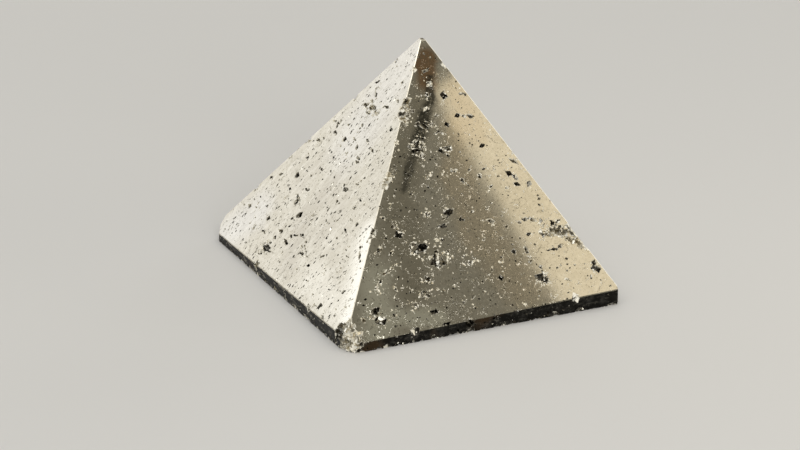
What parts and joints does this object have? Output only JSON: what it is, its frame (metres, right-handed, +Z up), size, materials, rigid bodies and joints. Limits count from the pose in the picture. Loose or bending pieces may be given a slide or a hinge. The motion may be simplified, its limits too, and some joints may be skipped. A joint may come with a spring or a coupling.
{
  "type": "pyrite pyramid",
  "caption": "Four-sided pyramid sawn and polished from massive pyrite, with a low upright skirt, small open vugs and a crumbled front corner.",
  "frame": {"origin": "middle of the base rectangle, on the surface that the pyramid stands on", "axes": "+Z up through the tip, +Y along the longer side of the base, away from the crumbled front corner, +X along the shorter side"},
  "size_m": [0.05, 0.0544, 0.0419],
  "materials": {
    "pyrite": "satin"
  },
  "bodies": {
    "root": {"pyrite_pyramid": "pyrite"}
  },
  "joints": []
}
